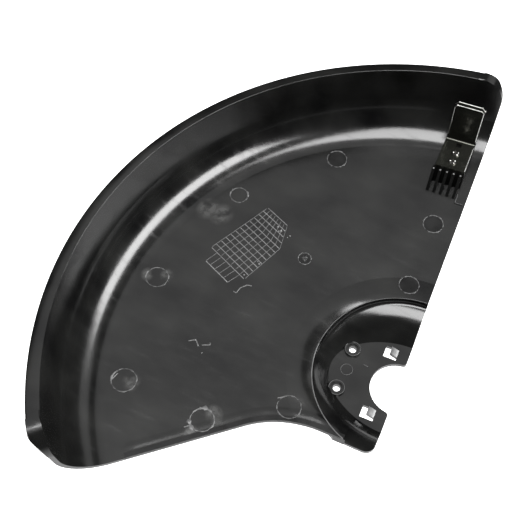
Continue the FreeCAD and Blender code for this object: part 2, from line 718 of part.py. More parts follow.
def cutter_screws():
    """Two slotted screws through the blade's foot into the block: one is modelled, then repeated."""
    screws.AllowCompound = True
    half_shank = s.cutter_screw_shank / 2
    half_head = s.cutter_screw_head / 2
    bevel = s.cutter_screw_head_height / 2
    head_top = blade_top + s.cutter_screw_head_height
    point = block_top - s.cutter_screw_length
    section = sketch_on(screws, "screw_section", "XZ_Plane", -first_screw)
    section.AttachmentOffset = FreeCAD.Placement(
        FreeCAD.Vector(block_middle.value, 0, -first_screw.value), FreeCAD.Rotation())
    section.setExpression("AttachmentOffset.Base.x", block_middle.text)
    polygon(section, [
        (ZERO, point),
        (half_shank / 2, point),
        (half_shank, point + half_shank),
        (half_shank, blade_top),
        (half_head, blade_top),
        (half_head, head_top - bevel),
        (half_head - bevel, head_top),
        (ZERO, head_top),
    ])
    turned = feature(screws, "Revolution", "turned_screw", section, True,
                     ReferenceAxis=(section, ["V_Axis"]), Angle=360.0)
    slot_plan = sketch_on(screws, "slot_outline", "XY_Plane", head_top)
    half_slot = s.cutter_screw_slot / 2
    rectangle(slot_plan, block_middle - half_slot, block_middle + half_slot,
              first_screw - half_head, first_screw + half_head)
    slot = feature(screws, "Pocket", "slot", slot_plan, False, Length=bevel)
    pair = screws.newObject("PartDesign::LinearPattern", "screw_pair")
    pair.Originals = [turned, slot]
    pair.Direction = (slot_plan, ["V_Axis"])
    pair.setExpression("Length", s.cutter_screw_spacing.text)
    pair.Occurrences = 2
    screws.Tip = pair
    doc.recompute()


dish()
hub()
trim()
hub_fastening()
cutter_block()
cutter_blade()
cutter_screws()
doc.recompute()

bodies = (guard, blade, screws)
for item in doc.Objects:
    if "Invalid" in item.State or "Error" in item.State:
        raise RuntimeError(f"{item.Name} failed: {item.State}")
for body in bodies:
    if body.Shape.isNull() or not body.Shape.isValid():
        raise RuntimeError(f"{body.Label} has no valid shape")

os.makedirs("parts", exist_ok=True)
for body in bodies:
    box = body.Shape.BoundBox
    print(body.Label, len(body.Shape.Solids), "solids", round(body.Shape.Volume / 1000, 2), "cm3",
          [round(v, 1) for v in (box.XMin, box.XMax, box.YMin, box.YMax, box.ZMin, box.ZMax)])
    body.Shape.exportStep(f"parts/{body.Label}.step")
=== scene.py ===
"""Looks of the trimmer blade guard: black moulding, dark steel cutter, bright screws, studio light."""
import math

import bmesh
import bpy
import numpy as np
from mathutils import Matrix


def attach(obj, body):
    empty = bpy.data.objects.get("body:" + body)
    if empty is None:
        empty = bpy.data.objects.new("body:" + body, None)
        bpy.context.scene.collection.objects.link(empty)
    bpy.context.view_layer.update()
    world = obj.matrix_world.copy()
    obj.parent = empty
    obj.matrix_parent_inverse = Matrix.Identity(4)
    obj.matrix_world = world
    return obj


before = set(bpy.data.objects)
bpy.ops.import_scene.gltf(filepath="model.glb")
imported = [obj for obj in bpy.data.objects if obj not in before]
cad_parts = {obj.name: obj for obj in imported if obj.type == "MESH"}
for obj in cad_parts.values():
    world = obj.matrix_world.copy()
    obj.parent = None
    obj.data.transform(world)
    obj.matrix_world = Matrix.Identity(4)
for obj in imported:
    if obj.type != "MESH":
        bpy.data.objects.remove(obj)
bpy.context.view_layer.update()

# Forms are given in millimetres, and meshes are in metres.
MM = 0.001
# Points nearer to each other than this, in metres, are merged.
WELD = 1e-6
# How far a skin lies above the solid that it covers.
SKIN = 0.03

# Form of the dish's floor: a shallow cone that turns level round the hub.
FLOOR_LEVEL = 31.7
FLOOR_RADIUS = 156.3
FLAT_RADIUS = 62.5
FLAT_LEVEL = 21.4
CONE_SLOPE = (FLOOR_LEVEL - FLAT_LEVEL) / (FLOOR_RADIUS - FLAT_RADIUS)


def floor_height(x, y):
    """Height of the moulded floor: it falls in proportion to the radius, down to the level land."""
    radius = np.hypot(x, y)
    return np.maximum(FLOOR_LEVEL - CONE_SLOPE * (FLOOR_RADIUS - radius), FLAT_LEVEL)


# Form of the hub: an oval plate, a sloping wall, a roll-in, and a round step in the roll-in.
PLATE_LEVEL = 2.7
COLLAR_LEVEL = 4.2
PLATE_HALF_WIDTH = 27.7
PLATE_REACH = 40.0
PLATE_END_RADIUS = 20.0
HUB_SLOPE = math.radians(49.0)
HUB_ROLL = 20.0
LIP_RADIUS = 48.5
LIP_STEP = 4.5


def outside_plate(x, y):
    """Distance outside the oval plate: its ends are arcs, its sides flatter arcs tangent to them."""
    centre = PLATE_REACH - PLATE_END_RADIUS
    b, r = PLATE_HALF_WIDTH, PLATE_END_RADIUS
    side = (centre**2 + b**2 - r**2) / (2 * (b - r))
    to_end = np.hypot(np.abs(x) - centre, y) - r
    to_side = np.hypot(x, np.abs(y) + side - b) - side
    at_end = (np.abs(x) - centre) * (side - b) > np.abs(y) * centre
    return np.where(at_end, to_end, to_side)


def rolled_height(x, y, roll):
    """Height of the floor where it rolls in towards the hub: an arc of the given radius."""
    fall = FLAT_LEVEL - LIP_STEP - PLATE_LEVEL
    start = fall / math.tan(HUB_SLOPE) + HUB_ROLL * math.tan(HUB_SLOPE / 2)
    depth = np.clip(start - outside_plate(x, y), 0, roll * math.sin(HUB_SLOPE))
    return floor_height(x, y) - roll + np.sqrt(roll**2 - depth**2)


def land_height(x, y):
    """Height round the hub outside the step: floor, then a round roll-in, then a straight slope."""
    sloped = PLATE_LEVEL + LIP_STEP + outside_plate(x, y) * math.tan(HUB_SLOPE)
    return np.minimum(rolled_height(x, y, HUB_ROLL), sloped)


# Paths.

def directions(points):
    """Unit directions along a path: the differences between neighbours, divided by their length."""
    along = np.gradient(points, axis=0)
    return along / np.linalg.norm(along, axis=1, keepdims=True)


def to_the_right(points):
    """Unit directions square to a flat path, on its right-hand side."""
    along = directions(points)
    return np.stack([along[:, 1], -along[:, 0]], -1)


def even_path(points, count):
    """Even points along straight stretches between the given ones."""
    points = np.asarray(points, float)
    lengths = np.concatenate([[0], np.cumsum(np.linalg.norm(np.diff(points, axis=0), axis=1))])
    along = np.linspace(0, lengths[-1], count)
    return np.stack([np.interp(along, lengths, column) for column in points.T], -1)


def around(radius, turn, centre=(0.0, 0.0)):
    """Places on a circle, as x and y: the radius times the cosine and the sine of the turn."""
    return centre[0] + radius * np.cos(turn), centre[1] + radius * np.sin(turn)


def taper(count, share):
    """Rises from nothing to one over a share of the length, and falls again at the other end."""
    t = np.linspace(0, 1, count)
    return np.clip(np.minimum(t, 1 - t) / share, 0, 1)


# Plan of the lower edge: a straight stretch towards the hub, a bend, and the lobe's straight end.
LOWER_EDGE = math.radians(222.5)
EDGE_FAR, EDGE_NEAR = 151.0, 89.1
BEND_CENTRE = np.array((-29.2, -100.0))
BEND_RADIUS = 54.0
LOBE_EDGE = -46.0
LOBE_END = -16.0
STRAIGHT_STEPS, BEND_STEPS, LOBE_STEPS = 60, 40, 14


def lower_edge_path():
    """Points along the lower edge, and the directions that point away from the moulding there."""
    reach = np.linspace(EDGE_FAR, EDGE_NEAR, STRAIGHT_STEPS)[:, None]
    straight = reach * (math.cos(LOWER_EDGE), math.sin(LOWER_EDGE))
    turn = np.linspace(LOWER_EDGE - math.pi / 2, math.pi / 2, BEND_STEPS)[1:]
    bend = np.stack(around(BEND_RADIUS, turn, BEND_CENTRE), -1)
    lobe_x = np.linspace(BEND_CENTRE[0], LOBE_END, LOBE_STEPS)[1:]
    lobe = np.stack([lobe_x, np.full_like(lobe_x, LOBE_EDGE)], -1)
    points = np.concatenate([straight, bend, lobe])
    return points, to_the_right(points)


# Node helpers. Most of a noise pattern lies between the limits of NOISE_SPAN.
NOISE_SPAN = (0.3, 0.7)


def new_material(name):
    """Material, with its lists of nodes and links and its shader."""
    material = bpy.data.materials.new(name)
    material.use_nodes = True
    nodes = material.node_tree.nodes
    shader = next(n for n in nodes if n.type == "BSDF_PRINCIPLED")
    return material, nodes, material.node_tree.links, shader


def noise(nodes, links, coords, scale, detail, stretch=(1, 1, 1)):
    """Noise on Object coordinates, drawn out along an axis by a Mapping node."""
    mapping = nodes.new("ShaderNodeMapping")
    mapping.inputs["Scale"].default_value = stretch
    links.new(coords.outputs["Object"], mapping.inputs["Vector"])
    texture = nodes.new("ShaderNodeTexNoise")
    texture.inputs["Scale"].default_value = scale
    texture.inputs["Detail"].default_value = detail
    links.new(mapping.outputs["Vector"], texture.inputs["Vector"])
    return texture.outputs["Fac"]


def ramp(nodes, links, source, span, values):
    """Maps a value between two limits to another range, in a straight line."""
    made = nodes.new("ShaderNodeMapRange")
    made.inputs["From Min"].default_value, made.inputs["From Max"].default_value = span
    made.inputs["To Min"].default_value, made.inputs["To Max"].default_value = values
    links.new(source, made.inputs["Value"])
    return made.outputs["Result"]


def colour_mix(nodes, links, factor, first, second):
    """Colour between two others, by a factor; the first may be the output of another pattern."""
    mix = nodes.new("ShaderNodeMix")
    mix.data_type = "RGBA"
    if isinstance(first, tuple):
        mix.inputs["A"].default_value = (*first, 1)
    else:
        links.new(first, mix.inputs["A"])
    mix.inputs["B"].default_value = (*second, 1)
    links.new(factor, mix.inputs["Factor"])
    return mix.outputs["Result"]


def bump(nodes, links, height, strength, distance, under=None):
    """Normal tilted by a pattern of heights, on top of another bump where one is given."""
    made = nodes.new("ShaderNodeBump")
    made.inputs["Strength"].default_value = strength
    made.inputs["Distance"].default_value = distance
    links.new(height, made.inputs["Height"])
    if under is not None:
        links.new(under, made.inputs["Normal"])
    return made.outputs["Normal"]


def joined(nodes, links, operation, first, second):
    """Two values taken together by a Math node."""
    made = nodes.new("ShaderNodeMath")
    made.operation = operation
    links.new(first, made.inputs[0])
    links.new(second, made.inputs[1])
    return made.outputs[0]


# Smudges on the floor: place and radius. Each is full over its core and fades out towards its radius.
SMUDGES = [
    (-144.0, 54.5, 9.0), (-135.0, 54.5, 9.0), (-155.0, -2.5, 5.0), (-144.5, 2.0, 5.0),
    (-129.5, -64.6, 6.0), (-88.2, -76.0, 5.0), (-82.0, -62.0, 6.0),
]
SMUDGE_COLOUR = (0.032, 0.032, 0.031)
SMUDGE_CORE = 0.4
SMUDGE_BLOTCHES = (0.36, 0.56)
SMUDGE_DEPTH_SCALE = 5.0


def smudges(nodes, links, coords):
    """Blotchy patches: noise under a round fade about each place, too thin to reach the underside."""
    blotch = ramp(nodes, links, noise(nodes, links, coords, scale=150.0, detail=4.0), SMUDGE_BLOTCHES, (0, 1))
    flattened = nodes.new("ShaderNodeMapping")
    flattened.inputs["Scale"].default_value = (1.0, 1.0, SMUDGE_DEPTH_SCALE)
    links.new(coords.outputs["Object"], flattened.inputs["Vector"])
    total = None
    for x, y, radius in SMUDGES:
        away = nodes.new("ShaderNodeVectorMath")
        away.operation = "DISTANCE"
        links.new(flattened.outputs["Vector"], away.inputs[0])
        away.inputs[1].default_value = (x * MM, y * MM, floor_height(x, y) * MM * SMUDGE_DEPTH_SCALE)
        fade = ramp(nodes, links, away.outputs["Value"], (SMUDGE_CORE * radius * MM, radius * MM), (1, 0))
        total = fade if total is None else joined(nodes, links, "MAXIMUM", total, fade)
    return joined(nodes, links, "MULTIPLY", blotch, total)


# Finishes.

def black_moulding():
    """Black moulded plastic: satin skin, faint flow patches, handling scuffs and fine grain."""
    material, nodes, links, shader = new_material("black_moulding")
    coords = nodes.new("ShaderNodeTexCoord")
    patches = noise(nodes, links, coords, scale=30.0, detail=3.0, stretch=(1.0, 1.6, 1.0))
    grain = noise(nodes, links, coords, scale=900.0, detail=2.0)
    scuffs = noise(nodes, links, coords, scale=60.0, detail=6.0, stretch=(1.0, 5.0, 1.0))
    waves = noise(nodes, links, coords, scale=26.0, detail=1.0)
    smudge = smudges(nodes, links, coords)
    shade = colour_mix(nodes, links, ramp(nodes, links, patches, NOISE_SPAN, (0, 1)),
                       (0.0012, 0.0012, 0.0013), (0.0088, 0.0089, 0.0084))
    links.new(colour_mix(nodes, links, smudge, shade, SMUDGE_COLOUR), shader.inputs["Base Color"])
    rough = ramp(nodes, links, patches, NOISE_SPAN, (0.15, 0.20))
    rough = joined(nodes, links, "ADD", rough, ramp(nodes, links, scuffs, (0.55, 0.8), (0.0, 0.10)))
    rough = joined(nodes, links, "ADD", rough, ramp(nodes, links, smudge, (0, 1), (0.0, 0.15)))
    links.new(rough, shader.inputs["Roughness"])
    shader.inputs["Specular IOR Level"].default_value = 0.5
    wave_normal = bump(nodes, links, waves, strength=0.10, distance=0.0015)
    grain_normal = bump(nodes, links, grain, strength=0.10, distance=0.0001, under=wave_normal)
    links.new(grain_normal, shader.inputs["Normal"])
    return material


def dark_blade_steel():
    """Dark oxidised steel with fine grinding lines across the blade."""
    material, nodes, links, shader = new_material("dark_blade_steel")
    coords = nodes.new("ShaderNodeTexCoord")
    lines = noise(nodes, links, coords, scale=400.0, detail=3.0, stretch=(0.12, 1.0, 1.0))
    stain = noise(nodes, links, coords, scale=120.0, detail=3.0)
    shade = colour_mix(nodes, links, stain, (0.030, 0.031, 0.026), (0.062, 0.063, 0.054))
    links.new(shade, shader.inputs["Base Color"])
    shader.inputs["Metallic"].default_value = 0.85
    links.new(ramp(nodes, links, lines, NOISE_SPAN, (0.16, 0.24)), shader.inputs["Roughness"])
    links.new(bump(nodes, links, lines, strength=0.08, distance=0.0001), shader.inputs["Normal"])
    return material


def bright_screw_steel():
    """Bright plated steel with slight tarnish."""
    material, nodes, links, shader = new_material("bright_screw_steel")
    coords = nodes.new("ShaderNodeTexCoord")
    tarnish = noise(nodes, links, coords, scale=700.0, detail=3.0)
    shade = colour_mix(nodes, links, tarnish, (0.42, 0.41, 0.39), (0.60, 0.59, 0.57))
    links.new(shade, shader.inputs["Base Color"])
    shader.inputs["Metallic"].default_value = 1.0
    links.new(ramp(nodes, links, tarnish, NOISE_SPAN, (0.14, 0.24)), shader.inputs["Roughness"])
    links.new(bump(nodes, links, tarnish, strength=0.05, distance=0.0001), shader.inputs["Normal"])
    return material


def worn_and_glint_steel():
    """Bare bright steel where the blade's edges are rubbed, also used as painted highlight for glints on the
    blade's edges and corners and the screws' slots.
    """
    material, nodes, links, shader = new_material("worn_and_glint_steel")
    coords = nodes.new("ShaderNodeTexCoord")
    rub = noise(nodes, links, coords, scale=300.0, detail=3.0)
    shade = colour_mix(nodes, links, rub, (0.45, 0.45, 0.43), (0.85, 0.85, 0.83))
    links.new(shade, shader.inputs["Base Color"])
    shader.inputs["Metallic"].default_value = 1.0
    links.new(ramp(nodes, links, rub, NOISE_SPAN, (0.25, 0.45)), shader.inputs["Roughness"])
    return material


# Darkest and lightest grey of a whitened place and of a painted highlight, as shares of its middle one.
WHITENED_AND_HIGHLIGHT_DARK, WHITENED_AND_HIGHLIGHT_LIGHT = 0.35, 1.3


def pale_plastic(name, light):
    """Moulding whitened by stress or rubbing, on lines and flash, in greys about the given one; the same
    greys are painted highlight on edges, rib tops and latch tongues.
    """
    material, nodes, links, shader = new_material(name)
    coords = nodes.new("ShaderNodeTexCoord")
    wear = noise(nodes, links, coords, scale=220.0, detail=3.0)
    shade = colour_mix(nodes, links, wear, (light * WHITENED_AND_HIGHLIGHT_DARK,) * 3, (light * WHITENED_AND_HIGHLIGHT_LIGHT,) * 3)
    links.new(shade, shader.inputs["Base Color"])
    links.new(ramp(nodes, links, wear, NOISE_SPAN, (0.30, 0.45)), shader.inputs["Roughness"])
    return material


def pin_face_and_shade():
    """Face of an ejector pin's mark: duller than the polished skin round it; also laid over the lower edge
    and the lobe's cut face as painted shade.
    """
    material, nodes, links, shader = new_material("pin_face_and_shade")
    coords = nodes.new("ShaderNodeTexCoord")
    turning = noise(nodes, links, coords, scale=160.0, detail=3.0)
    shade = colour_mix(nodes, links, turning, (0.003,) * 3, (0.008,) * 3)
    links.new(shade, shader.inputs["Base Color"])
    links.new(ramp(nodes, links, turning, NOISE_SPAN, (0.25, 0.40)), shader.inputs["Roughness"])
    shader.inputs["Specular IOR Level"].default_value = 0.22
    return material


moulding = black_moulding()
dull = pin_face_and_shade()
pale = pale_plastic("pale_lines", 0.17)
faint = pale_plastic("faint_lines", 0.09)
dim = pale_plastic("dim_lines", 0.045)
bare_steel_and_glints = worn_and_glint_steel()

FINISHES = {
    "guard_shell": moulding,
    "line_cutter_blade": dark_blade_steel(),
    "cutter_screws": bright_screw_steel(),
}
for node_name, finish in FINISHES.items():
    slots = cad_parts[node_name].data.materials
    slots.clear()
    slots.append(finish)


# Surfaces worked out as grids.

def grid_faces(rows, columns, wrap):
    """Quads of a grid of points; with wrap the last column joins the first."""
    across = columns if wrap else columns - 1
    i, j = np.meshgrid(np.arange(rows - 1), np.arange(across), indexing="ij")
    after = (j + 1) % columns
    here, above = i * columns, (i + 1) * columns
    return np.stack([here + j, here + after, above + after, above + j], -1).reshape(-1, 4)


def mesh_piece(name, parts, material):
    """One object from several grids, each given as points in rows and columns and a wrap flag."""
    points, quads, start = [], [], 0
    for surface, wrap in parts:
        rows, columns, _ = surface.shape
        points.append(surface.reshape(-1, 3) * MM)
        quads.append(grid_faces(rows, columns, wrap) + start)
        start += rows * columns
    mesh = bpy.data.meshes.new(name)
    mesh.from_pydata(np.concatenate(points).tolist(), [], np.concatenate(quads).tolist())
    welded = bmesh.new()
    welded.from_mesh(mesh)
    bmesh.ops.remove_doubles(welded, verts=welded.verts, dist=WELD)
    welded.to_mesh(mesh)
    welded.free()
    mesh.materials.append(material)
    mesh.polygons.foreach_set("use_smooth", np.ones(len(mesh.polygons), bool))
    mesh.update()
    piece = bpy.data.objects.new(name, mesh)
    bpy.context.scene.collection.objects.link(piece)
    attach(piece, "root")
    return piece


# Raised lines are half an ellipse across, with their edges sunk a little into the floor.
LINE_ACROSS = 9
RING_STEPS, RING_SUNK, RING_TAPER = 96, 0.04, 0.2
RIDGE_SUNK, RIDGE_TAPER = 0.03, 0.08
RAGGED_SWING, RAGGED_SHIFT = 0.3, 0.15
RAGGED_WIDTH, RAGGED_HEIGHT = (0.3, 1.8), (0.2, 1.3)


def ring_on_floor(x, y, radius, width, height, start=0.0, end=360.0):
    """Raised ring, or a part of it: half an ellipse carried round a circle, made ragged by three sines."""
    turn = np.radians(np.linspace(start, end, RING_STEPS))
    across = np.linspace(1, -1, LINE_ACROSS)[:, None]
    swing = RAGGED_SWING * (np.sin(3 * turn + x) + np.sin(7 * turn + y) + np.sin(13 * turn + x + y))
    reach = radius + (RAGGED_SHIFT * swing + across * np.clip(1 + swing, *RAGGED_WIDTH) / 2) * width
    px, py = around(reach, turn, (x, y))
    whole = end - start == 360.0
    fade = np.clip(1 + swing, *RAGGED_HEIGHT) * (1.0 if whole else taper(len(turn), RING_TAPER))
    lift = height * fade * np.sqrt(np.clip(1 - across**2, 0, 1)) - RING_SUNK
    return np.stack([px, py, land_height(px, py) + lift], -1), False


def ridge_on_floor(path, width, height):
    """Raised line: half an ellipse carried along a path on the floor, tapering out at both ends."""
    path = np.asarray(path, float)
    across = np.linspace(-1, 1, LINE_ACROSS)
    place = path[:, None, :] + to_the_right(path)[:, None, :] * (across * width / 2)[None, :, None]
    rounded = np.sqrt(np.clip(1 - across**2, 0, 1))
    lift = height * taper(len(path), RIDGE_TAPER)[:, None] * rounded - RIDGE_SUNK
    level = floor_height(place[..., 0], place[..., 1]) + lift
    return np.concatenate([place, level[..., None]], -1), False


CIRCLE_STEPS, FACE_CIRCLES = 48, 4


def face_on_floor(x, y, radius, lift):
    """Flat round face, a little above the floor: circles that shrink to the middle."""
    turn = np.radians(np.linspace(0, 360, CIRCLE_STEPS))
    px, py = around(np.linspace(radius, 0.0, FACE_CIRCLES)[:, None], turn, (x, y))
    return np.stack([px, py, floor_height(px, py) + lift], -1), False


# A wire's circles start from a level direction, or from another where its path is nearly upright.
WIRE_SIDES = 10
NEARLY_UPRIGHT = 0.9


def wire(points, radius):
    """Round wire along a path: a circle square to the path at each point, closed at both ends."""
    points = np.asarray(points, float)
    along = directions(points)
    helper = np.where(np.abs(along[:, 2:]) > NEARLY_UPRIGHT, (1.0, 0.0, 0.0), (0.0, 0.0, 1.0))
    first = np.cross(along, helper)
    first /= np.linalg.norm(first, axis=1, keepdims=True)
    second = np.cross(along, first)
    turn = np.linspace(0, 2 * np.pi, WIRE_SIDES, endpoint=False)[:, None]
    rows = points[:, None] + radius * (first[:, None] * np.cos(turn) + second[:, None] * np.sin(turn))
    ends = [np.repeat(points[i][None, None], WIRE_SIDES, axis=1) for i in (0, -1)]
    return np.concatenate([ends[0], rows, ends[1]]), True


DROP_ROWS, DROP_SIDES = 9, 14


def drop(centre, radius):
    """Small ball: circles of latitude from the lowest point to the highest."""
    polar = np.linspace(np.pi, 0, DROP_ROWS)[:, None]
    turn = np.linspace(0, 2 * np.pi, DROP_SIDES, endpoint=False)
    x, y = around(np.sin(polar), turn)
    ball = np.stack([x, y, np.cos(polar) * np.ones_like(turn)], -1)
    return np.asarray(centre) + ball * radius, True


# Marks of the mould's ejector pins: place, ring radius, and whether the face is dull.
EJECTOR_MARKS = [
    (-85.5, 123.3, 6.2, True), (-131.2, 71.9, 5.4, False), (-149.0, -1.7, 6.4, False),
    (-133.5, -65.5, 6.6, False), (-13.9, 101.0, 6.0, True), (-86.3, -67.3, 6.2, False),
    (-48.6, -40.9, 6.4, False), (-14.1, 56.3, 5.8, True),
]
MARK_LINE_WIDTH, MARK_LINE_HEIGHT, MARK_FACE_LIFT = 0.7, 0.22, 0.06
mark_rings = [ring_on_floor(x, y, r, MARK_LINE_WIDTH, MARK_LINE_HEIGHT) for x, y, r, _ in EJECTOR_MARKS]
mesh_piece("ejector_rings", mark_rings, dim)
mark_faces = [face_on_floor(x, y, r, MARK_FACE_LIFT) for x, y, r, is_dull in EJECTOR_MARKS if is_dull]
mesh_piece("ejector_faces", mark_faces, dull)

# Flash left at some of the marks: mark number, start and end angle, width. Scratches lie about the floor.
FLASH_ARCS = [
    (0, 30, 120, 0.4), (1, 10, 75, 1.0), (1, 150, 215, 0.9), (2, 15, 70, 0.9), (2, 160, 215, 0.9),
    (3, -30, 60, 0.6), (3, 150, 230, 0.8), (4, 40, 140, 0.4), (5, 0, 360, 0.7), (5, 60, 130, 1.6),
    (5, 200, 260, 1.8), (6, 180, 300, 0.5), (7, 60, 160, 0.4),
]
FLASH_HEIGHT, FLASH_SHIFT = 0.30, 0.2
SCRATCHES = [
    [(-105.6, 9.6), (-103.5, 9.2), (-102.8, 13.2), (-100.0, 16.7), (-97.2, 17.4)],
    [(-114.0, -29.9), (-110.6, -27.4), (-107.5, -30.4)],
    [(-106.2, -28.9), (-102.2, -26.8), (-102.8, -25.5)],
    [(-56.3, -39.0), (-52.8, -36.4)],
    [(-139.7, -69.2), (-138.4, -63.4)],
    [(-93.0, -75.0), (-90.5, -72.5)],
]
SCRATCH_WIDTH, SCRATCH_STEPS = 0.7, 30
flash = []
for number, start, end, width in FLASH_ARCS:
    x, y, r, _ = EJECTOR_MARKS[number]
    flash.append(ring_on_floor(x, y, r + FLASH_SHIFT * width, width, FLASH_HEIGHT, start, end))
for points in SCRATCHES:
    flash.append(ridge_on_floor(even_path(points, SCRATCH_STEPS), SCRATCH_WIDTH, FLASH_HEIGHT))
mesh_piece("mould_flash", flash, faint)

# Blank marking grid of the mould: narrow columns crossed by faint rows, and a shorter, wider first column.
GRID_START = np.array((-130.0, 30.6))
GRID_LONG = np.array((19.0, 40.4))
GRID_ACROSS = np.array((0.924, -0.382))
GRID_WIDTH_AT, GRID_WIDTH = (0.0, 0.67, 1.0), (29.1, 26.6, 17.3)
FIRST_START = np.array((-128.8, 20.7))
FIRST_LENGTH = 19.3
FIRST_JOINS, FIRST_SPREAD = 0.18, 0.68
COLUMN_LINES, ROW_LINES, FIRST_ROWS = 13, 8, 6
FIRST_LINE_WIDTH, COLUMN_LINE_WIDTH, COLUMN_LINE_HEIGHT = 0.6, 0.5, 0.25
ROW_LINE_WIDTH, ROW_LINE_HEIGHT = 0.32, 0.2
GRID_LINE_STEPS = 40
steps = np.linspace(0, 1, GRID_LINE_STEPS)[:, None]


def grid_point(along, across):
    """Place in the grid: a share along its length, and a share across it, where it narrows."""
    width = np.interp(along, GRID_WIDTH_AT, GRID_WIDTH)
    return GRID_START + GRID_LONG * along + GRID_ACROSS * across * width


def first_row(across):
    """Row of the wide first column: from its outer line to the grid's first narrow one."""
    start = FIRST_START + GRID_ACROSS * FIRST_LENGTH * across
    end = grid_point(0.0, FIRST_JOINS + FIRST_SPREAD * across)
    return start + (end - start) * steps


first_line = FIRST_START + GRID_ACROSS * FIRST_LENGTH * steps
column_lines = [ridge_on_floor(first_line, FIRST_LINE_WIDTH, COLUMN_LINE_HEIGHT)]
for share in np.linspace(0, 1, COLUMN_LINES):
    column_lines.append(ridge_on_floor(grid_point(share, steps), COLUMN_LINE_WIDTH, COLUMN_LINE_HEIGHT))
mesh_piece("marking_columns", column_lines, pale)
row_paths = [grid_point(steps, share) for share in np.linspace(0, 1, ROW_LINES)]
row_paths += [first_row(share) for share in np.linspace(0, 1, FIRST_ROWS)]
row_lines = [ridge_on_floor(path, ROW_LINE_WIDTH, ROW_LINE_HEIGHT) for path in row_paths]
mesh_piece("marking_rows", row_lines, faint)

# Crumbs of flash by the grid and the scratches: place and radius.
CRUMBS = [
    (-99.8, 61.0, 0.7), (-97.0, 59.2, 0.8), (-98.2, 58.4, 0.5), (-90.6, 58.3, 0.5), (-91.6, 56.6, 0.4),
    (-99.6, 32.6, 0.6), (-104.4, 22.0, 0.6), (-100.9, 33.8, 0.4), (-110.8, -27.7, 0.5), (-104.0, -33.2, 0.4),
]
crumbs = [drop((x, y, floor_height(x, y)), r) for x, y, r in CRUMBS]
mesh_piece("flash_crumbs", crumbs, pale)

# Gate of the mould: a ring round a dull face with a stub in its middle.
GATE = (-76.6, 47.8)
GATE_FACE_RADIUS, GATE_FACE_LIFT = 3.4, 0.08
gate_ring = ring_on_floor(*GATE, radius=3.9, width=0.7, height=0.2)
gate_stub = ring_on_floor(*GATE, radius=0.9, width=1.6, height=0.5)
mesh_piece("gate_mark", [gate_ring, gate_stub], dim)
mesh_piece("gate_face", [face_on_floor(*GATE, GATE_FACE_RADIUS, GATE_FACE_LIFT)], dull)

# Shoulder beside the hub's step: its roll-in is gentler on the side away from the leading edge.
SHOULDER_TURN = np.radians((136.0, 164.0, 191.0, 213.0, 219.0))
SHOULDER_ROLL = np.array((HUB_ROLL, 39.0, 39.0, 23.0, HUB_ROLL))
SHOULDER_REACH = 63.5
SHOULDER_BROW, SHOULDER_HEM = 0.05, 0.3
SHOULDER_STEPS, SHOULDER_ACROSS = 240, 140


def shoulder_roll(turn):
    """Radius of the roll-in by direction: its curvature eases from one given direction to the next."""
    knots = np.arange(len(SHOULDER_TURN))
    place = np.interp(turn, SHOULDER_TURN, knots)
    share = place - np.floor(place)
    eased = np.floor(place) + share * share * (3 - 2 * share)
    return 1 / np.interp(eased, knots, 1 / SHOULDER_ROLL)


def hub_shoulder():
    """Land from the step's lip outwards, with the roll-in by direction, and a wall down to the solid."""
    turn = np.linspace(SHOULDER_TURN[0], SHOULDER_TURN[-1], SHOULDER_STEPS)[:, None]
    x, y = around(np.linspace(LIP_RADIUS, SHOULDER_REACH, SHOULDER_ACROSS), turn)
    top = np.stack([x, y, rolled_height(x, y, shoulder_roll(turn)) + SKIN], -1)
    brow, hem = top[:, :1].copy(), top[:, :1].copy()
    brow[..., 2] -= SHOULDER_BROW
    hem[..., 2] = land_height(x, y)[:, :1] - SHOULDER_HEM
    return np.concatenate([hem, brow, top], 1), False


mesh_piece("hub_shoulder", [hub_shoulder()], moulding)

# Hollow rounding at the foot of the step, full at the leading edge and running out round the hub.
FOOT_TURN = np.radians((90.4, 160.0, 185.0))
FOOT_ROUND = np.array((2.0, 2.0, 0.05))
FOOT_STEPS, FOOT_ACROSS = 120, 13


def step_foot():
    """Quarter circle between the recess's face and the step's wall, carried round the step."""
    turn = np.linspace(FOOT_TURN[0], FOOT_TURN[-1], FOOT_STEPS)[:, None]
    size = np.interp(turn, FOOT_TURN, FOOT_ROUND)
    share = np.sin(np.linspace(0, math.pi / 2, FOOT_ACROSS))
    x, y = around(LIP_RADIUS - SKIN - size * (1 - share), turn)
    rise = size * (1 - np.sqrt(1 - share**2))
    return np.stack([x, y, land_height(x, y) - LIP_STEP + rise + SKIN], -1), False


mesh_piece("step_foot", [step_foot()], moulding)

# Bead along the step's lip, pale as a painted highlight: thin at first, and thicker and paler further round
# the hub.
LIP_START, LIP_END, LIP_STEPS, LIP_WIDE_FROM = 91.0, 250.0, 200, 109
LIP_SUNK, LIP_BEAD, LIP_WIDE_BEAD = 0.12, 0.25, 0.38
lip_turn = np.radians(np.linspace(LIP_START, LIP_END, LIP_STEPS))
lip_x, lip_y = around(LIP_RADIUS, lip_turn)
lip = np.stack([lip_x, lip_y, rolled_height(lip_x, lip_y, shoulder_roll(lip_turn)) - LIP_SUNK], -1)
mesh_piece("step_lip", [wire(lip[:LIP_WIDE_FROM + 1], LIP_BEAD)], dim)
mesh_piece("step_lip_wide_highlight", [wire(lip[LIP_WIDE_FROM:], LIP_WIDE_BEAD)], faint)


# Lower edge: a slight swell, a dull band of painted shade beside the cut, a pale wire of painted highlight
# along the edge, and painted shade on the lobe's cut face.
BAND_ACROSS, BAND_TAPER = 13, 0.05
EDGE_HIGHLIGHT, EDGE_HIGHLIGHT_SUNK = 0.34, 0.15


def edge_band(near, far, height, lift):
    """Strip along the lower edge between two distances from it, swelling by a raised cosine."""
    points, away = lower_edge_path()
    across = np.linspace(1, 0, BAND_ACROSS)
    inward = near + (far - near) * across
    place = points[:, None] - away[:, None] * inward[:, None]
    swell = height * (1 - np.cos(2 * np.pi * across)) / 2 * taper(len(points), BAND_TAPER)[:, None]
    level = land_height(place[..., 0], place[..., 1]) + swell + lift
    return np.concatenate([place, level[..., None]], -1), False


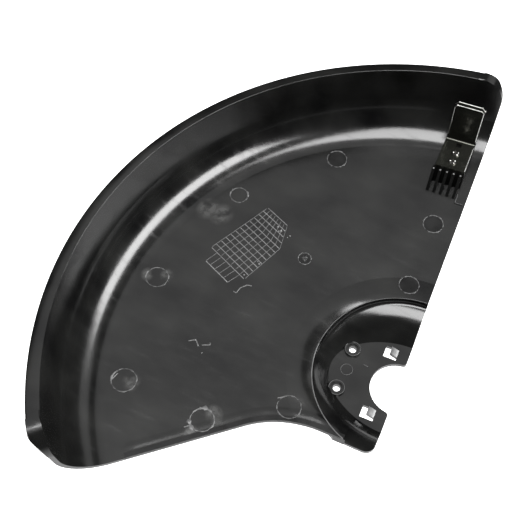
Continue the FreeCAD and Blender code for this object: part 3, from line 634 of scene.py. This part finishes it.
mesh_piece("edge_swell", [edge_band(near=2.6, far=8.6, height=0.13, lift=-0.01)], moulding)
# Painted shade: a dull band beside the cut.
mesh_piece("edge_shade", [edge_band(near=0.5, far=2.9, height=0.0, lift=SKIN)], dull)
# Painted highlight: a pale wire along the edge stands in for its thin bright line.
edge, _ = lower_edge_path()
highlight_path = np.column_stack([edge, land_height(edge[:, 0], edge[:, 1]) - EDGE_HIGHLIGHT_SUNK])
mesh_piece("edge_highlight", [wire(highlight_path, EDGE_HIGHLIGHT)], dim)

# Painted shade on the lobe's cut face: a dull skin in two strips, given as places along it and its levels.
CUT_SHADES = [((-29.2, -22.0, -15.2), (19.1, 21.3)), ((-21.9, -18.5, -15.2), (14.3, 19.1))]
cut_shades = []
for places, levels in CUT_SHADES:
    cut_x, cut_z = np.meshgrid(places, levels)
    cut_shades.append((np.stack([cut_x, np.full_like(cut_x, LOBE_EDGE - SKIN), cut_z], -1), False))
mesh_piece("lobe_cut_shade", cut_shades, dull)

# Flange on the rim: a face that rises slightly inwards, between a round outer edge and a sharper inner one.
RIM_OUTER, RIM_INNER, RIM_LEVEL = 185.0, 178.0, 76.1
RIM_ROUND, RIM_EDGE, RIM_RISE = 0.9, 0.35, 0.42
RIM_START, RIM_END, RIM_STEPS, RIM_TAPER = 95.5, 217.0, 420, 0.06
RIM_INNER_DEPTH, RIM_OUTER_DEPTH = 1.3, 1.2
INNER_STEPS, OUTER_STEPS = 7, 8


def rim_crown():
    """Section of the flange's top, given as radius and height, carried round the rim."""
    turn = np.radians(np.linspace(RIM_START, RIM_END, RIM_STEPS))[:, None]
    inner = np.radians(np.linspace(180, 90, INNER_STEPS))
    outer = np.radians(np.linspace(90, 0, OUTER_STEPS))
    inner_r = RIM_INNER - SKIN + RIM_EDGE * (1 + np.cos(inner))
    inner_z = RIM_LEVEL + SKIN - RIM_EDGE * (1 - np.sin(inner))
    outer_r = RIM_OUTER - RIM_ROUND + (RIM_ROUND + SKIN) * np.cos(outer)
    outer_z = RIM_LEVEL - RIM_ROUND + (RIM_ROUND + SKIN) * np.sin(outer)
    radius = np.concatenate([inner_r[:1], inner_r, outer_r, outer_r[-1:]])
    level = np.concatenate([[RIM_LEVEL - RIM_INNER_DEPTH], inner_z, outer_z, [RIM_LEVEL - RIM_OUTER_DEPTH]])
    rise = np.concatenate([[0.0], np.full(INNER_STEPS, RIM_RISE), np.zeros(OUTER_STEPS + 1)])
    height = level + rise * taper(len(turn), RIM_TAPER)[:, None]
    return np.stack([*around(radius, turn), height], -1), False


mesh_piece("rim_crown", [rim_crown()], moulding)

# Painted highlights: pale beads on the rounded tops of the cutter block's ribs stand in for their glints, and
# a pale wire on the edge of the low pad beside it for its bright edge.
RIB_FIRST, RIB_PITCH, RIB_COUNT = -25.05, 4.2, 5
RIB_TOP_Y, RIB_TOP_Z, RIB_TOP_RADIUS = 129.4, 42.2, 0.55
PAD_CORNERS = [(-1.2, 119.9), (-6.3, 119.9), (-6.3, 126.5)]
PAD_HEIGHT, PAD_BEAD, PAD_STEPS = 0.55, 0.22, 40
rib_top_glints = [drop((RIB_FIRST + RIB_PITCH * i, RIB_TOP_Y, RIB_TOP_Z), RIB_TOP_RADIUS) for i in range(RIB_COUNT)]
mesh_piece("rib_top_glints", rib_top_glints, pale)
pad_edge = even_path(PAD_CORNERS, PAD_STEPS)
pad_edge = np.column_stack([pad_edge, floor_height(pad_edge[:, 0], pad_edge[:, 1]) + PAD_HEIGHT])
mesh_piece("pad_edge_highlights", [wire(pad_edge, PAD_BEAD)], dim)

# Hub plate: the mark of an ejector pin, and painted highlights: a small pale bar where glints show, and pale
# rings on the edges of the screw holes' collars.
PLATE_PIN_X, PLATE_PIN_RADIUS, PLATE_PIN_LINE = -30.4, 3.4, 0.2
PLATE_BAR = [(-22.9, 6.9, PLATE_LEVEL), (-19.7, 6.3, PLATE_LEVEL)]
PLATE_BAR_RADIUS, PLATE_BAR_STEPS = 0.35, 12
COLLAR_X, COLLAR_Y, COLLAR_RADIUS, COLLAR_LINE = -31.5, 13.05, 4.4, 0.22


def level_ring(x, y, radius, level):
    """Points round a level circle."""
    turn = np.radians(np.linspace(0, 360, CIRCLE_STEPS))
    return np.stack([*around(radius, turn, (x, y)), np.full_like(turn, level)], -1)


plate_marks_and_glints = [
    wire(level_ring(PLATE_PIN_X, 0.0, PLATE_PIN_RADIUS, PLATE_LEVEL), PLATE_PIN_LINE),
    wire(even_path(PLATE_BAR, PLATE_BAR_STEPS), PLATE_BAR_RADIUS),
]
for hole_y in (-COLLAR_Y, COLLAR_Y):
    plate_marks_and_glints.append(wire(level_ring(COLLAR_X, hole_y, COLLAR_RADIUS, COLLAR_LEVEL), COLLAR_LINE))
mesh_piece("plate_marks_and_glints", plate_marks_and_glints, dim)

# Pale skins of the two latch tongues, painted highlight: down the slope to the tip, and down the tip.
LATCH_ROOT, LATCH_TIP, LATCH_RISE, LATCH_HALF_WIDTH = -6.6, -10.95, 2.3, 2.3
LATCH_MIDDLES, LATCH_STEPS = (20.8, -19.0), 5


def latch_highlight_skin(middle):
    """Profile of a tongue's top and tip, given as x and z, carried across its width."""
    x = np.array((LATCH_ROOT, LATCH_TIP - SKIN, LATCH_TIP - SKIN))[:, None]
    z = np.array((PLATE_LEVEL, PLATE_LEVEL + LATCH_RISE, LATCH_RISE))[:, None] + SKIN
    y = middle + np.linspace(-LATCH_HALF_WIDTH, LATCH_HALF_WIDTH, LATCH_STEPS)
    return np.stack(np.broadcast_arrays(x, y, z), -1), False


mesh_piece("latch_highlights", [latch_highlight_skin(middle) for middle in LATCH_MIDDLES], pale)

# Rubbed edges of the cutter blade, in bright steel that is partly real wear and partly painted highlight for
# the edges' and corners' glints. One side of each edge is given by insets and heights.
BLADE_LEFT, BLADE_RIGHT, BLADE_FACE, BLADE_BACK = -24.7, -6.8, 155.3, 156.9
BLADE_FOOT, BLADE_TOP, BLADE_BEVEL, BLADE_CORNER = 44.4, 73.4, 1.3, 2.0
WEAR_GLINT_INSET, WEAR_GLINT_FOOT, CLIP_DROP, CLIP_RUN = 0.3, 3.0, 2.6, 1.5
FRONT_SIDE = [
    (WEAR_GLINT_INSET, BLADE_FOOT + WEAR_GLINT_FOOT),
    (WEAR_GLINT_INSET, BLADE_TOP - CLIP_DROP),
    (CLIP_RUN, BLADE_TOP - BLADE_BEVEL),
]
BACK_SIDE = [(0.0, BLADE_TOP - BLADE_CORNER), (BLADE_CORNER, BLADE_TOP)]
FOOT_EDGE_FAR, FOOT_EDGE_NEAR = 23.5, 3.0
FRONT_WEAR_GLINT, BACK_WEAR_GLINT, FOOT_WEAR_GLINT, CORNER_WEAR_GLINT = 0.20, 0.24, 0.20, 0.45
FRONT_STEPS, BACK_STEPS, FOOT_EDGE_STEPS = 160, 60, 20


def over_the_top(side, y):
    """Edge up the blade's left side, over its top and down its right side, the same on both."""
    left = [(BLADE_LEFT + inset, y, z) for inset, z in side]
    right = [(BLADE_RIGHT - inset, y, z) for inset, z in reversed(side)]
    return left + right


front_edge = over_the_top(FRONT_SIDE, BLADE_FACE)
back_edge = over_the_top(BACK_SIDE, BLADE_BACK)
foot_edge = [(BLADE_RIGHT, BLADE_FACE - reach, BLADE_FOOT) for reach in (FOOT_EDGE_FAR, FOOT_EDGE_NEAR)]
blade_wear_and_glints = [
    wire(even_path(front_edge, FRONT_STEPS), FRONT_WEAR_GLINT),
    wire(even_path(back_edge, BACK_STEPS), BACK_WEAR_GLINT),
    wire(even_path(foot_edge, FOOT_EDGE_STEPS), FOOT_WEAR_GLINT),
]
blade_wear_and_glints += [drop(place, CORNER_WEAR_GLINT) for place in (*back_edge[1:], front_edge[2])]
mesh_piece("blade_edge_wear_and_glints", blade_wear_and_glints, bare_steel_and_glints)

# Painted highlights: bright drops at both ends of the screws' slots stand in for their glints.
SCREW_X, SCREW_YS, SCREW_TOP = -15.75, (136.3, 143.6), 45.6
SLOT_HALF, SLOT_SLANT, GLINT_RADIUS = 1.45, 0.3, 0.5
slot_ends = [(SCREW_X + side * SLOT_HALF, y + side * SLOT_SLANT, SCREW_TOP)
             for y in SCREW_YS for side in (-1, 1)]
mesh_piece("screw_glints", [drop(place, GLINT_RADIUS) for place in slot_ends], bare_steel_and_glints)


# Studio: pale floor far below, white surround, soft boxes overhead and at the side, in metres.
STUDIO_HALF, STUDIO_LEVEL = 4.0, -0.32
SURROUND_LIGHT = 0.05
LIGHT_AIM = np.array((-0.08, 0.02, 0.03))
# Name, direction from the aim, distance, width, height and radiance.
SOFT_BOXES = [
    ("overhead_panel", (-0.262, 0.02, 1.0), 1.55, 1.34, 2.1, 0.88),
    ("overhead_box", (0.12, -0.12, 0.98), 1.4, 0.6, 0.85, 13.5),
    ("side_box", (0.70, 0.20, 0.65), 1.4, 0.52, 1.2, 19.0),
    ("fill_box", (0.44, 0.69, 0.58), 1.4, 0.55, 0.5, 0.9),
]
# Camera fitted to the photograph: place, directions to the right, down and forward, and lens.
CAMERA_PLACE = np.array((9.118, -167.890, 371.502)) * MM
CAMERA_RIGHT = np.array((0.90975, 0.41343, -0.03775))
CAMERA_DOWN = np.array((0.32693, -0.76950, -0.54862))
CAMERA_FORWARD = np.array((-0.25586, 0.48677, -0.83522))
CAMERA_LENS, CAMERA_SENSOR = 47.41, 36.0


def seen_or_lit(nodes, links, lit):
    """Strength of a white surface: full where the camera sees it, and weaker as light on the part."""
    path = nodes.new("ShaderNodeLightPath")
    return ramp(nodes, links, path.outputs["Is Camera Ray"], (0, 1), (lit, 1.0))


def studio_floor():
    """Level square of pale board, in four quads."""
    material, nodes, links, shader = new_material("pale_floor")
    shader.inputs["Base Color"].default_value = (0.93, 0.93, 0.93, 1)
    shader.inputs["Roughness"].default_value = 0.9
    shader.inputs["Emission Color"].default_value = (1, 1, 1, 1)
    links.new(seen_or_lit(nodes, links, 0.0), shader.inputs["Emission Strength"])
    places = np.linspace(-STUDIO_HALF, STUDIO_HALF, 3)
    x, y = np.meshgrid(places, places)
    points = np.stack([x, y, np.full_like(x, STUDIO_LEVEL)], -1).reshape(-1, 3)
    mesh = bpy.data.meshes.new("studio_floor")
    mesh.from_pydata(points.tolist(), [], grid_faces(3, 3, False).tolist())
    mesh.materials.append(material)
    floor = bpy.data.objects.new("studio_floor", mesh)
    bpy.context.scene.collection.objects.link(floor)


def surround():
    """White all round."""
    world = bpy.data.worlds.new("surround")
    world.use_nodes = True
    nodes, links = world.node_tree.nodes, world.node_tree.links
    background = nodes["Background"]
    background.inputs["Color"].default_value = (1, 1, 1, 1)
    links.new(seen_or_lit(nodes, links, SURROUND_LIGHT), background.inputs["Strength"])
    bpy.context.scene.world = world


def placed(axes, place):
    """Matrix whose columns are three directions and a place."""
    return Matrix([[*axes[i], place[i]] for i in range(3)] + [[0, 0, 0, 1]])


def soft_box(name, direction, distance, width, height, radiance):
    """Area light that faces the middle of the dish; its power is radiance times pi times its area."""
    out = np.array(direction) / np.linalg.norm(direction)
    side = np.cross((0, 1, 0), out)
    side /= np.linalg.norm(side)
    light = bpy.data.lights.new(name, "AREA")
    light.shape = "RECTANGLE"
    light.size = width
    light.size_y = height
    light.energy = radiance * math.pi * width * height
    lamp = bpy.data.objects.new(name, light)
    lamp.matrix_world = placed(np.stack([side, np.cross(out, side), out], -1), LIGHT_AIM + out * distance)
    bpy.context.scene.collection.objects.link(lamp)


def camera():
    """Camera at the photograph's place; its own axes point right, up and backwards."""
    data = bpy.data.cameras.new("camera")
    data.lens = CAMERA_LENS
    data.sensor_width = CAMERA_SENSOR
    view = bpy.data.objects.new("camera", data)
    view.matrix_world = placed(np.stack([CAMERA_RIGHT, -CAMERA_DOWN, -CAMERA_FORWARD], -1), CAMERA_PLACE)
    bpy.context.scene.collection.objects.link(view)
    bpy.context.scene.camera = view


studio_floor()
surround()
for box in SOFT_BOXES:
    soft_box(*box)
camera()
bpy.context.scene.view_settings.view_transform = "Standard"
